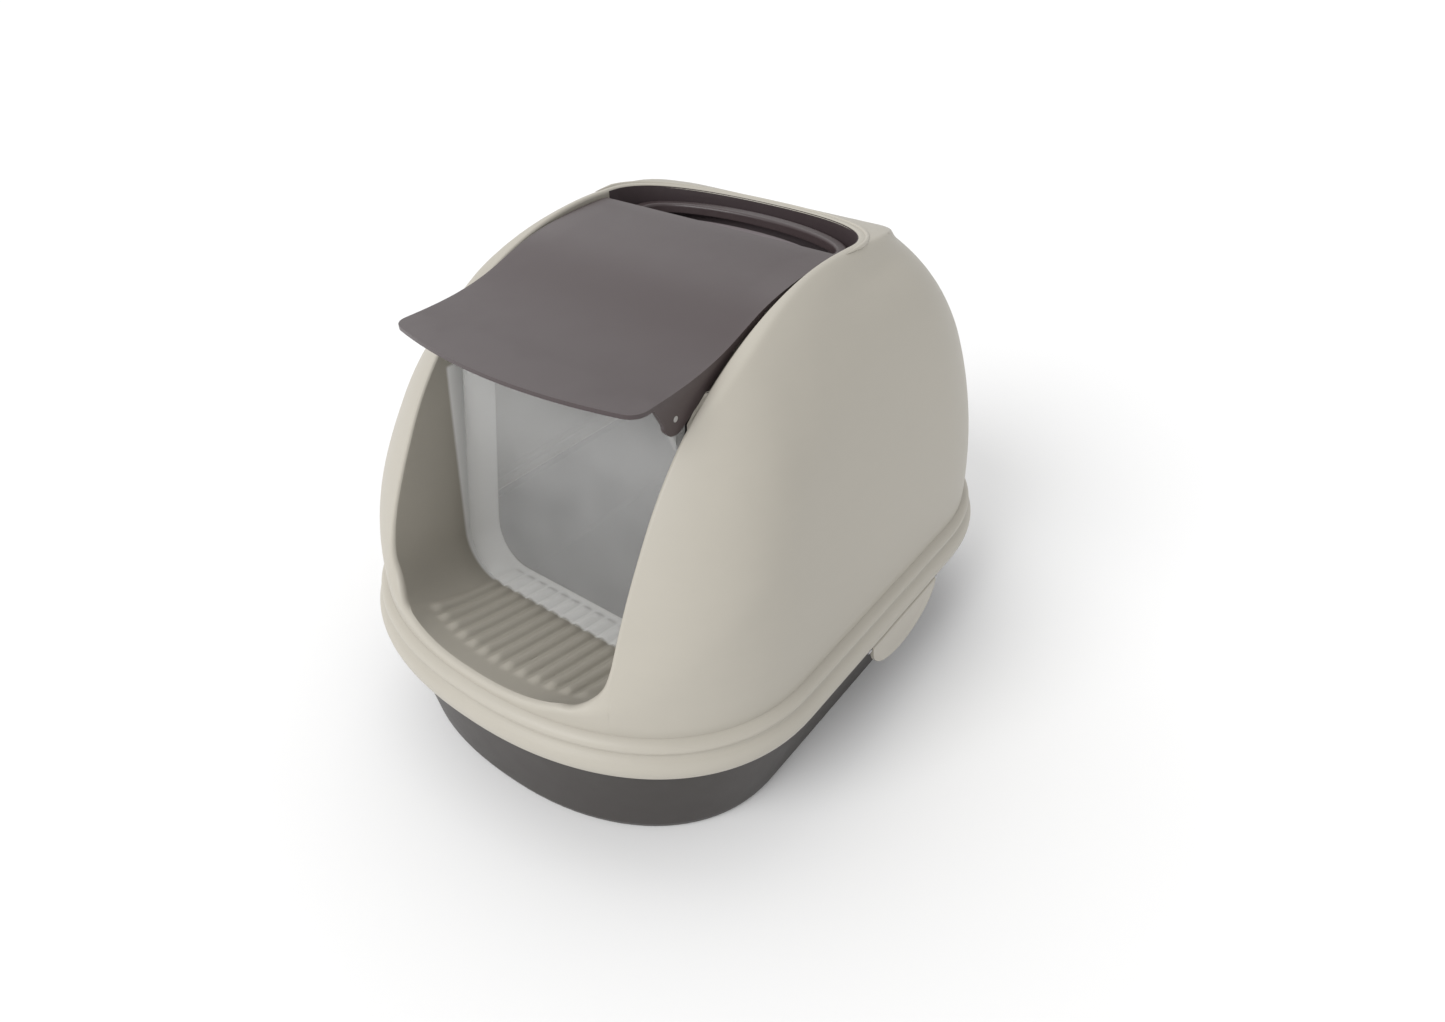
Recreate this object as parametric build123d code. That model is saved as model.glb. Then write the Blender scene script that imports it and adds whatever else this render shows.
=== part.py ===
"""Covered cat litter box: tray, hood, entry porch, visor with swing flap, handle, filter and latches.

Millimetres, +Z up, +Y towards the back, origin on the floor under the middle of the box.
Each function makes one piece where it sits in the closed box; the table at the end writes one file each.
"""
from build123d import *
import os
from math import cos, pi, radians, sin, sqrt, tan

# ---- Rim, tray and hood plan -------------------------------------------------------------------
RIM_HALF_WIDTH = 200.0
RIM_HALF_LENGTH = 267.0
FRONT_CAP = 148.7            # length of the rounded front end of the plan
BACK_CAP = 166.2
FRONT_POWER = 2.23           # superellipse power of that end; 2 is an ellipse
BACK_POWER = 2.36
WALL = 3.0

TRAY_HALF_WIDTH = 169.7      # plan of the tray's floor
TRAY_FRONT = -243.5
TRAY_BACK = 236.4
TRAY_FRONT_CAP = 125.0
TRAY_BACK_CAP = 112.0
TRAY_TOP_INSET = 12.0
TRAY_HEIGHT = 87.0
FLANGE_INSET = 6.0
FLANGE_THICKNESS = 3.0
FLANGE_TOP = TRAY_HEIGHT + FLANGE_THICKNESS

BAND_BOTTOM = 87.0           # the hood's beaded band
BAND_TOP = 118.0
BAND_INSET = 11.0            # from the band's crest in to the hood wall
BAND_WAVE = [(87.0, 2.0), (90.0, 0.5), (95.0, 0.0), (100.0, 1.6), (104.0, 4.6), (107.0, 5.0),
             (110.5, 4.2), (114.0, 6.0), (118.5, 12.5)]     # (height, inset) up the band
SKIRT_INSET = 5.5
LEDGE_INSET = 9.5

# ---- Hood dome ----------------------------------------------------------------------------------
DOME_HEIGHT = 330.0          # height of the full dome above the band; the arch cuts it lower
DOME_FOOT = 95.0
DOME_STEPS = 9
DOME_CUT = 0.84              # share of the dome's height that is built
ARCH_Y = 20.5                # axis of the arch that runs over the box from front to back
ARCH_Z = 114.0
ARCH_RADIUS = 253.8
ARCH_BACK_REACH = 243.5
ARCH_BACK_POWER = 2.5
FLARE_TOP = 152.0            # below this the arch turns forward to meet the lip
FLARE_FRONT = -275.0

# ---- Opening, porch and doorway -------------------------------------------------------------------
OPENING_HALF_WIDTH = 112.3
OPENING_CORNER = 38.0
LIP_HEIGHT = 130.0
PORCH_GAP = 0.2
PORCH_WALL = 2.7
FLOOR_SLOPE = 9.5            # degrees down towards the doorway
FLOOR_REF = (-165.0, 105.2)  # a point of the porch floor, (y, z)
DOOR_TILT = 8.4              # degrees that the doorway and the flap lean
PORCH_END = (-130.0, 99.5)   # the inner end of the porch floor
RAIL_DEPTH = 20.0
RAIL_END = 31.0
RIB_COUNT = 13
RIB_PITCH = 12.7
RIB_RADIUS = 3.6
RIB_RISE = 1.8
RIB_FRONT = -233.0
RIB_BACK = -140.0

# ---- Flap -----------------------------------------------------------------------------------------
FLAP_PIVOT = (-151.0, 316.0)
FLAP_HALF_WIDTH = 102.0
FLAP_THICKNESS = 1.8
FLAP_CORNER = 41.0
FLAP_BOTTOM = (-165.6, 111.0)
FLAP_TOP = 309.0
FLAP_PIN_RADIUS = 2.0
RUNNING_GAP = 0.07

# ---- Visor ------------------------------------------------------------------------------------------
VISOR_HALF_WIDTH = 107.4
VISOR_THICKNESS = 3.0
VISOR_TOP = [(29.0, 363.6), (-24.0, 361.0), (-64.0, 353.6), (-98.0, 342.2), (-132.0, 335.2),
             (-166.0, 333.0), (-202.0, 332.4)]              # (y, z) along its middle, back to front
VISOR_FRONT = -200.0
VISOR_FRONT_BOW = 15.0
VISOR_CORNER = 12.0
VISOR_PIVOT = (19.0, 353.0)
VISOR_PIN_RADIUS = 2.0
FLANGE_PLATE = 3.0

# ---- Well, handle and filter ---------------------------------------------------------------------------
WELL_FRONT = 33.0
WELL_STRAIGHT = 42.0
WELL_DEPTH = 70.0
WELL_FLOOR = 336.0
WELL_WALL = 2.4
HANDLE_PIVOT = (46.0, 350.0)
HANDLE_HALF_WIDTH = 99.0
HANDLE_BACK = 98.0
HANDLE_WIDTH = 10.0
HANDLE_HEIGHT = 7.0
HANDLE_PIN_RADIUS = 2.5
FILTER_SIZE = (128.0, 50.0, 9.0)
FILTER_Y = 70.0
FILTER_GAP = 0.6             # round the filter in its cell
FILTER_SWING_GAP = 3.2       # at its free edge, which swings outwards as it drops
RETAINER_TOP = 323.0
RETAINER_THICKNESS = 2.6
RETAINER_BARREL = 3.2
RETAINER_PIVOT_Y = 100.0
RETAINER_Z = RETAINER_TOP - RETAINER_BARREL
RETAINER_LUG_X = 44.0
RETAINER_PIN_RADIUS = 1.5

# ---- Latches -----------------------------------------------------------------------------------------
LATCH_Y = 25.0
LATCH_HALF_LENGTH = 54.0
LATCH_DROP = 33.0
LATCH_OUTER = 199.2
LATCH_THICKNESS = 3.0
LATCH_AXIS = (197.0, 84.4)
LATCH_BARREL = 2.2
LATCH_PIN_RADIUS = 1.1
CATCH_REACH = 194.0

SIDES = {"left": -1, "right": 1}


def cap_edge(half_width, length, power, y_base, direction):
    """Rounded end of a plan, from the +X side round to the -X side."""
    steps = 14
    points = []
    for step in range(steps + 1):
        turn = pi * step / steps
        across = abs(cos(turn)) ** (2 / power) * (1 if turn < pi / 2 else -1)
        along = abs(sin(turn)) ** (2 / power)
        points.append((half_width * across, y_base + direction * length * along))
    return Spline(points, tangents=[(0, direction), (0, -direction)], tangent_scalars=[1.0, 1.0])


def plan_face(half_width, front, back, front_cap, back_cap, height):
    """Closed plan: two straight sides joined by a rounded front and a rounded back."""
    y_front = front + front_cap
    y_back = back - back_cap
    edges = [
        cap_edge(half_width, front_cap, FRONT_POWER, y_front, -1),
        Line((-half_width, y_front), (-half_width, y_back)),
        cap_edge(half_width, back_cap, BACK_POWER, y_back, 1),
        Line((half_width, y_back), (half_width, y_front)),
    ]
    return Plane.XY.offset(height) * make_face(edges)


def rim_face(inset, height, scale=1.0):
    """The rim's plan, moved in by an inset and scaled about the middle of the box."""
    return plan_face(
        (RIM_HALF_WIDTH - inset) * scale,
        -(RIM_HALF_LENGTH - inset) * scale,
        (RIM_HALF_LENGTH - inset) * scale,
        (FRONT_CAP - inset) * scale,
        (BACK_CAP - inset) * scale,
        height,
    )


def side_extrusion(face_yz, half_width):
    """Extrude a face drawn in the YZ plane to both sides of the middle."""
    return extrude(Plane.YZ * face_yz, amount=half_width, both=True)


def box_between(low, high):
    """Box from its lowest corner to its highest corner."""
    size = [top - bottom for bottom, top in zip(low, high)]
    return Pos(*low) * Box(*size, align=(Align.MIN, Align.MIN, Align.MIN))


def rod_x(x_low, x_high, y, z, radius):
    """Round rod along X."""
    return Pos(x_low, y, z) * Rot(0, 90, 0) * Cylinder(
        radius, x_high - x_low, align=(Align.CENTER, Align.CENTER, Align.MIN))


def rod_y(y_low, y_high, x, z, radius):
    """Round rod along Y."""
    return Pos(x, y_low, z) * Rot(-90, 0, 0) * Cylinder(
        radius, y_high - y_low, align=(Align.CENTER, Align.CENTER, Align.MIN))


def mirrored(solid, side):
    """The piece as made for the +X side, or its mirror image."""
    return solid if side > 0 else mirror(solid, about=Plane.YZ)


# ---- Hood shape -----------------------------------------------------------------------------------------

def arch_solid(offset):
    """Slab whose upper side is the arch over the box, moved in by an offset."""
    radius = ARCH_RADIUS - offset
    reach = ARCH_BACK_REACH - offset
    steps = 8
    back = []
    for step in range(steps + 1):
        turn = pi / 2 * step / steps
        back.append((ARCH_Y + reach * sin(turn) ** (2 / ARCH_BACK_POWER),
                     ARCH_Z + radius * cos(turn) ** (2 / ARCH_BACK_POWER)))
    rise = FLARE_TOP - ARCH_Z
    flare_start = (ARCH_Y - sqrt(radius ** 2 - rise ** 2), FLARE_TOP)
    flare_end = (FLARE_FRONT + offset, BAND_TOP - 2.0 - offset)
    downhill = (-rise, flare_start[0] - ARCH_Y)
    front_middle = (ARCH_Y - radius * sin(pi / 4), ARCH_Z + radius * sin(pi / 4))
    apex = (ARCH_Y, ARCH_Z + radius)
    low = 40.0
    outline = [
        Spline([flare_end, flare_start], tangents=[(1.0, 0.3), (-downhill[0], -downhill[1])]),
        ThreePointArc(flare_start, front_middle, apex),
        Spline(back, tangents=[(1, 0), (0, -1)], tangent_scalars=[1.0, 1.0]),
        Line(back[-1], (-FLARE_FRONT, ARCH_Z)),
        Line((-FLARE_FRONT, ARCH_Z), (-FLARE_FRONT, low)),
        Line((-FLARE_FRONT, low), (flare_end[0], low)),
        Line((flare_end[0], low), flare_end),
    ]
    return side_extrusion(make_face(outline), 230.0)


def dome_faces(offset):
    """Levels of the dome: a plain foot, then the rim's plan scaled by a quarter-ellipse."""
    height = DOME_HEIGHT - offset
    faces = [rim_face(BAND_INSET + offset, DOME_FOOT)]
    for step in range(DOME_STEPS):
        share = DOME_CUT * step / (DOME_STEPS - 1)
        faces.append(rim_face(BAND_INSET + offset, BAND_TOP + share * height, sqrt(1 - share ** 2)))
    return faces


def hood_outer():
    """Solid outline of the hood: the dome cut by the arch, on its beaded band."""
    band = loft([rim_face(inset, height) for height, inset in BAND_WAVE], ruled=True)
    return (loft(dome_faces(0.0)) & arch_solid(0.0)) + band


def hood_hollows():
    """The spaces inside the hood's wall: the dome, and the steps where it sits on the tray."""
    dome = loft(dome_faces(WALL)) & arch_solid(WALL)
    skirt = extrude(rim_face(SKIRT_INSET, BAND_BOTTOM - 2), amount=FLANGE_TOP - BAND_BOTTOM + 2)
    ledge = extrude(rim_face(LEDGE_INSET, BAND_BOTTOM - 2), amount=BAND_TOP - BAND_BOTTOM - 2)
    return [dome, skirt, ledge]


def u_face(half_width, corner, bottom, top):
    """Upright section of the opening: straight sides and a rounded bottom."""
    profile = Rectangle(2 * half_width, top - bottom)
    profile = Pos(0, (top + bottom) / 2) * profile
    low_corners = profile.vertices().sort_by(Axis.Y)[0:2]
    return fillet(low_corners, corner)


def opening_cutter():
    """Space cut from the hood's front and top for the porch and the visor."""
    section = u_face(OPENING_HALF_WIDTH, OPENING_CORNER, LIP_HEIGHT, 480.0)
    return extrude(Plane.XZ.offset(300.0) * section, amount=-(300.0 + WELL_FRONT))


def well_plan(inset, back_inset=None):
    """D-shaped plan of the well behind the visor."""
    back_inset = inset if back_inset is None else back_inset
    half_width = OPENING_HALF_WIDTH - inset
    depth = WELL_DEPTH - back_inset
    front = WELL_FRONT - 4.0 + inset
    bow = EllipticalCenterArc((0, WELL_STRAIGHT), half_width, depth, 0, arc_size=180)
    edges = [
        bow,
        Line((-half_width, WELL_STRAIGHT), (-half_width, front)),
        Line((-half_width, front), (half_width, front)),
        Line((half_width, front), (half_width, WELL_STRAIGHT)),
    ]
    return make_face(edges)


def well_cutter(inset, low):
    """Upright D-shaped space from a level up through the hood."""
    return extrude(Plane.XY.offset(low) * well_plan(inset), amount=100.0)


# ---- Pieces -------------------------------------------------------------------------------------------------

def base_tray():
    """Open tray with drafted walls, a flange for the hood and a catch ledge for each latch."""
    def tray_face(inset, height):
        return plan_face(TRAY_HALF_WIDTH - inset, TRAY_FRONT + inset, TRAY_BACK - inset,
                         TRAY_FRONT_CAP - inset, TRAY_BACK_CAP - inset, height)

    outside = loft([
        tray_face(5.0, 0.0),
        tray_face(1.2, 1.6),
        tray_face(-0.4, 6.0),
        rim_face(TRAY_TOP_INSET, TRAY_HEIGHT),
    ], ruled=True)
    hollow = loft([
        tray_face(6.0, WALL),
        tray_face(2.6, 8.0),
        rim_face(TRAY_TOP_INSET + WALL, FLANGE_TOP + 1.0),
    ], ruled=True)
    flange = extrude(rim_face(FLANGE_INSET, TRAY_HEIGHT), amount=FLANGE_THICKNESS)
    catches = [
        box_between((side * 184.0 if side > 0 else -CATCH_REACH, LATCH_Y - 16.0, 70.0),
                    (CATCH_REACH if side > 0 else -184.0, LATCH_Y + 16.0, 73.5))
        for side in SIDES.values()
    ]
    return outside + flange + catches - hollow


def hood_shell():
    """Hood with its beaded band, the opening, the well's edge bead and the latch lugs."""
    shell = hood_outer()
    for space in hood_hollows() + [opening_cutter(), well_cutter(0.0, 290.0)]:
        shell -= space
    lugs = []
    for side in SIDES.values():
        for end in (-1, 1):
            y_low = LATCH_Y + end * (LATCH_HALF_LENGTH + 3.0) - 2.5
            block = box_between((LATCH_AXIS[0] - 2.3, y_low, LATCH_AXIS[1] - 2.4),
                                (LATCH_AXIS[0] + 2.3, y_low + 5.0, BAND_BOTTOM + 6.0))
            hole = rod_y(y_low - 1.0, y_low + 6.0, *LATCH_AXIS, LATCH_PIN_RADIUS)
            lugs.append(mirrored(block - hole, side))
    return shell + lugs


def floor_height(y):
    """Height of the porch floor at a place along the box."""
    return FLOOR_REF[1] + (FLOOR_REF[0] - y) * tan(radians(FLOOR_SLOPE))


def porch_channel(inset, lift):
    """Channel that slopes down inwards, from in front of the hood to past the doorway."""
    y_start = -300.0
    length = 260.0
    section = u_face(OPENING_HALF_WIDTH - inset, OPENING_CORNER - inset, floor_height(y_start) + lift, 520.0)
    slope = radians(FLOOR_SLOPE)
    return extrude(Plane.XZ.offset(-y_start) * section, amount=length / cos(slope),
                   dir=(0, cos(slope), -sin(slope)))


def doorway_slab(y_shift):
    """Everything in front of the leaning plane at the inner end of the porch."""
    lean = tan(radians(DOOR_TILT))
    z_low, z_high = 60.0, 420.0
    y_end = [PORCH_END[0] + y_shift + (z - PORCH_END[1]) * lean for z in (z_low, z_high)]
    outline = make_face(Polyline((-320.0, z_low), (y_end[0], z_low), (y_end[1], z_high),
                                 (-320.0, z_high), close=True))
    return side_extrusion(outline, 130.0)


def lip_fillet():
    """Concave ramp between the porch floor and the rounded lip, following the front of the hood."""
    levels = [(104.0, 44.0), (114.0, 34.0), (118.0, 26.0), (122.0, 17.5), (126.0, 10.0),
              (129.0, 6.0), (131.0, 4.4)]
    hollow = loft([rim_face(BAND_INSET + inset, height) for height, inset in levels])
    block = box_between((-110.0, -262.0, 110.0), (110.0, -205.0, LIP_HEIGHT))
    return block - hollow


def ribs():
    """Row of rounded ribs along the porch floor; the outer ones start a little further in."""
    slope = radians(FLOOR_SLOPE)
    row = []
    for index in range(RIB_COUNT):
        place = index - (RIB_COUNT - 1) / 2
        y_front = RIB_FRONT + 0.28 * place ** 2
        run = (RIB_BACK - y_front) / cos(slope)
        sink = RIB_RADIUS - RIB_RISE
        start = Pos(place * RIB_PITCH, y_front, floor_height(y_front) - sink)
        lie = Rot(-90 - FLOOR_SLOPE, 0, 0)
        rod = Cylinder(RIB_RADIUS, run, align=(Align.CENTER, Align.CENTER, Align.MIN))
        rib = start * lie * (rod + Sphere(RIB_RADIUS) + Pos(0, 0, run) * Sphere(RIB_RADIUS))
        row.append(rib)
    return row


def entry_porch(shell):
    """Ribbed step with side walls, the doorway and the rails under the visor's edges."""
    outside = hood_outer()
    wide = porch_channel(PORCH_GAP, -PORCH_WALL)
    narrow = porch_channel(PORCH_GAP + PORCH_WALL, 0.0)
    channel = (wide & doorway_slab(0.0)) - narrow
    ramp = lip_fillet() & porch_channel(PORCH_GAP, -PORCH_WALL)
    floor_ribs = [rib & wide for rib in ribs()]
    porch = (channel + ramp + floor_ribs) & outside
    under_arch = arch_solid(RAIL_DEPTH)
    rails = []
    for side in SIDES.values():
        inner = side * (OPENING_HALF_WIDTH - PORCH_GAP - PORCH_WALL)
        outer = side * (OPENING_HALF_WIDTH - PORCH_GAP)
        strip = box_between((min(inner, outer), -150.0, 250.0), (max(inner, outer), RAIL_END, 400.0))
        rails.append((strip & outside) - under_arch)
    pin_holes = rod_x(-120.0, 120.0, *VISOR_PIVOT, VISOR_PIN_RADIUS)
    return porch + rails - shell - pin_holes


def pins_on_axis(y, z, x_low, x_high, radius, side):
    """One short pin along X on one side of the box."""
    return mirrored(rod_x(x_low, x_high, y, z, radius), side)


def visor_profile():
    """Side outline of the visor's sheet."""
    lower = [(y, z - VISOR_THICKNESS) for y, z in reversed(VISOR_TOP)]
    edges = [
        Spline(VISOR_TOP),
        Line(VISOR_TOP[-1], lower[0]),
        Spline(lower),
        Line(lower[-1], VISOR_TOP[0]),
    ]
    return make_face(edges)


def visor():
    """Curved sheet with a bowed front lip, side plates that carry the flap, and hinge bosses."""
    sheet = side_extrusion(visor_profile(), VISOR_HALF_WIDTH)
    back = VISOR_TOP[0][0] + 5.0
    corner_y = VISOR_FRONT + VISOR_FRONT_BOW
    outline = make_face([
        Line((VISOR_HALF_WIDTH, corner_y), (VISOR_HALF_WIDTH, back)),
        Line((VISOR_HALF_WIDTH, back), (-VISOR_HALF_WIDTH, back)),
        Line((-VISOR_HALF_WIDTH, back), (-VISOR_HALF_WIDTH, corner_y)),
        ThreePointArc((-VISOR_HALF_WIDTH, corner_y), (0, VISOR_FRONT), (VISOR_HALF_WIDTH, corner_y)),
    ])
    front_corners = outline.vertices().sort_by(Axis.Y)[0:2]
    plan = extrude(Plane.XY.offset(280.0) * fillet(front_corners, VISOR_CORNER), amount=120.0)
    body = sheet & plan

    above = make_face([
        Spline(VISOR_TOP),
        Line(VISOR_TOP[-1], (VISOR_TOP[-1][0], 240.0)),
        Line((VISOR_TOP[-1][0], 240.0), (VISOR_TOP[0][0], 240.0)),
        Line((VISOR_TOP[0][0], 240.0), VISOR_TOP[0]),
    ])
    plate_shape = make_face(Polyline((-176.0, 340.0), (-158.0, 309.0), (-151.0, 305.0), (-143.0, 308.0),
                                     (-120.0, 320.0), (-88.0, 340.0), (-60.0, 348.0), (-60.0, 380.0),
                                     (-176.0, 380.0), close=True))
    plate_outline = plate_shape & above
    lobe = Pos(*FLAP_PIVOT) * Circle(11.0)
    boss = Pos(*VISOR_PIVOT) * Circle(6.5)
    web = make_face(Polyline((VISOR_PIVOT[0] - 6.5, VISOR_PIVOT[1]), (VISOR_PIVOT[0] + 6.5, VISOR_PIVOT[1]),
                             (VISOR_PIVOT[0] + 6.5, 380.0), (VISOR_PIVOT[0] - 6.5, 380.0), close=True))
    for side in SIDES.values():
        plate = Plane.YZ.offset(VISOR_HALF_WIDTH - FLANGE_PLATE) * (plate_outline + lobe)
        knuckle = Plane.YZ.offset(VISOR_HALF_WIDTH - 8.0) * (boss + (web & above))
        body += mirrored(extrude(plate, amount=FLANGE_PLATE), side)
        body += mirrored(extrude(knuckle, amount=8.0), side)
    body -= rod_x(-120.0, 120.0, *VISOR_PIVOT, VISOR_PIN_RADIUS + RUNNING_GAP)
    return body - rod_x(-120.0, 120.0, *FLAP_PIVOT, FLAP_PIN_RADIUS)


def flap():
    """Leaning door panel with large lower corners, a thicker border and two arms to its pins."""
    lean = radians(DOOR_TILT)
    length = (FLAP_TOP - FLAP_BOTTOM[1]) / cos(lean)
    face_plane = Plane(origin=(0, FLAP_BOTTOM[0], FLAP_BOTTOM[1]), x_dir=(1, 0, 0),
                       z_dir=(0, -cos(lean), sin(lean)))

    def outline(inset):
        shape = Pos(0, length / 2) * Rectangle(2 * (FLAP_HALF_WIDTH - inset), length - 2 * inset)
        low = shape.vertices().sort_by(Axis.Y)[0:2]
        shape = fillet(low, FLAP_CORNER - inset)
        high = shape.vertices().sort_by(Axis.Y)[-2:]
        return fillet(high, 8.0)

    panel = extrude(face_plane * outline(0.0), amount=-FLAP_THICKNESS)
    border = extrude(face_plane * (outline(0.0) - outline(4.0)), amount=0.5)
    body = panel + border
    arm_shape = make_face(Polyline((FLAP_PIVOT[0] - 5.0, FLAP_PIVOT[1] - 1.0), (FLAP_PIVOT[0] - 1.0, FLAP_PIVOT[1] - 6.0),
                                   (-141.5, 286.0), (-138.5, 286.0), (-136.0, 304.0),
                                   (FLAP_PIVOT[0] + 4.0, FLAP_PIVOT[1] + 4.0), close=True))
    eye = Pos(*FLAP_PIVOT) * Circle(5.2)
    for side in SIDES.values():
        arm = extrude(Plane.YZ.offset(FLAP_HALF_WIDTH - 5.0) * (arm_shape + eye), amount=5.0)
        body += mirrored(arm, side)
    return body - rod_x(-110.0, 110.0, *FLAP_PIVOT, FLAP_PIN_RADIUS + RUNNING_GAP)


def filter_housing():
    """Dark D-shaped dish in the top of the hood, slotted over the filter."""
    sides = well_plan(PORCH_GAP)
    tub = extrude(Plane.XY.offset(WELL_FLOOR) * sides, amount=60.0) & (hood_outer() & arch_solid(1.2))
    tub -= box_between((-150.0, -50.0, 300.0), (150.0, WELL_FRONT, 400.0))
    inner = extrude(Plane.XY.offset(WELL_FLOOR + WELL_WALL) * well_plan(PORCH_GAP + WELL_WALL), amount=60.0)
    inner -= box_between((-150.0, -50.0, 300.0), (150.0, WELL_FRONT + WELL_WALL, 400.0))
    front_trim = box_between((-150.0, 0.0, 342.0), (150.0, WELL_FRONT + WELL_WALL + 0.1, 400.0))
    dish = tub - inner - front_trim
    slots = []
    for index in range(9):
        slots.append(Pos((index - 4) * 13.0, FILTER_Y, WELL_FLOOR) * Box(6.0, 34.0, 20.0))
    cell_low = RETAINER_TOP + 0.4
    half_x = FILTER_SIZE[0] / 2 + FILTER_GAP
    y_front = FILTER_Y - FILTER_SIZE[1] / 2 - FILTER_SWING_GAP
    y_back = FILTER_Y + FILTER_SIZE[1] / 2 + FILTER_GAP
    cell = box_between((-half_x - WELL_WALL, y_front - WELL_WALL, cell_low),
                       (half_x + WELL_WALL, y_back + WELL_WALL, WELL_FLOOR + 1.0))
    cell -= box_between((-half_x, y_front, cell_low - 1.0), (half_x, y_back, WELL_FLOOR + 2.0))
    lugs = []
    for side in SIDES.values():
        lug = box_between((RETAINER_LUG_X, RETAINER_PIVOT_Y - 4.0, RETAINER_Z - 3.4),
                          (RETAINER_LUG_X + 4.0, RETAINER_PIVOT_Y + 4.0, WELL_FLOOR + 1.0))
        lug -= rod_x(0.0, 80.0, RETAINER_PIVOT_Y, RETAINER_Z, RETAINER_PIN_RADIUS)
        lugs.append(mirrored(lug, side))
    pin_holes = rod_x(-120.0, 120.0, *HANDLE_PIVOT, HANDLE_PIN_RADIUS)
    return (dish + cell + lugs) - slots - pin_holes


def filter_grille():
    """Low crowned cap with slots, inside the folded handle's ring."""
    low = WELL_FLOOR + WELL_WALL
    outline = make_face([
        EllipticalCenterArc((0, 54.0), 82.0, 29.0, 0, arc_size=180),
        Line((-82.0, 54.0), (-82.0, 40.0)),
        Line((-82.0, 40.0), (82.0, 40.0)),
        Line((82.0, 40.0), (82.0, 54.0)),
    ])
    cap = extrude(Plane.XY.offset(low) * outline, amount=6.0)
    cap = chamfer(cap.faces().sort_by(Axis.Z)[-1].edges(), 2.0)
    slots = [Pos((index - 4) * 13.0, FILTER_Y - 10.0, low) * Box(5.0, 26.0, 30.0) for index in range(9)]
    return cap - slots


def carry_handle():
    """Folded D-shaped bail: two arms and a bow, with an eye at each front end."""
    y_turn = 56.0
    half = HANDLE_HALF_WIDTH
    low = HANDLE_PIVOT[1] - HANDLE_HEIGHT / 2

    def d_face(inset):
        return make_face([
            EllipticalCenterArc((0, y_turn), half - inset, HANDLE_BACK - y_turn - inset, 0,
                                arc_size=180),
            Line((-half + inset, y_turn), (-half + inset, HANDLE_PIVOT[0])),
            Line((-half + inset, HANDLE_PIVOT[0]), (half - inset, HANDLE_PIVOT[0])),
            Line((half - inset, HANDLE_PIVOT[0]), (half - inset, y_turn)),
        ])

    ring = extrude(Plane.XY.offset(low) * (d_face(0.0) - d_face(HANDLE_WIDTH)), amount=HANDLE_HEIGHT)
    long_edges = ring.edges().filter_by(lambda edge: abs((edge @ 0.5).Z - (low + HANDLE_HEIGHT)) < 0.01
                                        and (edge @ 0.5).Y > HANDLE_PIVOT[0] + 1.0)
    ring = fillet(long_edges, 2.2)
    for side in SIDES.values():
        eye = mirrored(rod_x(half - HANDLE_WIDTH, half, *HANDLE_PIVOT, 5.0), side)
        ring += eye
    return ring - rod_x(-120.0, 120.0, *HANDLE_PIVOT, HANDLE_PIN_RADIUS + RUNNING_GAP)


def carbon_filter():
    """Filter pad under the slotted floor of the well."""
    return Pos(0, FILTER_Y, RETAINER_TOP) * Box(*FILTER_SIZE, align=(Align.CENTER, Align.CENTER, Align.MIN))


def filter_retainer():
    """Slotted frame below the filter, hinged at its back edge."""
    low = RETAINER_TOP - RETAINER_THICKNESS
    tongue = RETAINER_LUG_X - 0.6
    frame = box_between((-66.0, FILTER_Y - FILTER_SIZE[1] / 2 - 4.0, low),
                        (66.0, RETAINER_PIVOT_Y - 5.5, RETAINER_TOP))
    frame += box_between((-tongue, RETAINER_PIVOT_Y - 6.0, low), (tongue, RETAINER_PIVOT_Y, RETAINER_TOP))
    slots = [Pos((index - 4) * 13.0, FILTER_Y - 2.0, RETAINER_TOP) * Box(7.0, 38.0, 20.0)
             for index in range(9)]
    barrel = rod_x(-tongue, tongue, RETAINER_PIVOT_Y, RETAINER_Z, RETAINER_BARREL)
    bore = rod_x(-80.0, 80.0, RETAINER_PIVOT_Y, RETAINER_Z, RETAINER_PIN_RADIUS + RUNNING_GAP)
    return frame - slots + barrel - bore


def latch(side):
    """D-shaped tab with a hinge barrel along its top edge and a catch rib inside."""
    edges = [
        EllipticalCenterArc((LATCH_Y, LATCH_AXIS[1]), LATCH_HALF_LENGTH, LATCH_DROP, 180,
                            arc_size=180),
        Line((LATCH_Y + LATCH_HALF_LENGTH, LATCH_AXIS[1]), (LATCH_Y - LATCH_HALF_LENGTH, LATCH_AXIS[1])),
    ]
    tab = extrude(Plane.YZ.offset(LATCH_OUTER - LATCH_THICKNESS) * make_face(edges), amount=LATCH_THICKNESS)
    barrel = rod_y(LATCH_Y - LATCH_HALF_LENGTH, LATCH_Y + LATCH_HALF_LENGTH, *LATCH_AXIS, LATCH_BARREL)
    rib = box_between((CATCH_REACH + 0.4, LATCH_Y - 14.0, 65.0), (LATCH_OUTER - 1.0, LATCH_Y + 14.0, 68.5))
    bore = rod_y(LATCH_Y - 80.0, LATCH_Y + 80.0, *LATCH_AXIS, LATCH_PIN_RADIUS + RUNNING_GAP)
    return mirrored(tab + barrel + rib - bore, side)


def latch_pin(side):
    """Rod through a latch and its two lugs."""
    reach = LATCH_HALF_LENGTH + 5.5
    return mirrored(rod_y(LATCH_Y - reach, LATCH_Y + reach, *LATCH_AXIS, LATCH_PIN_RADIUS), side)


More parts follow.
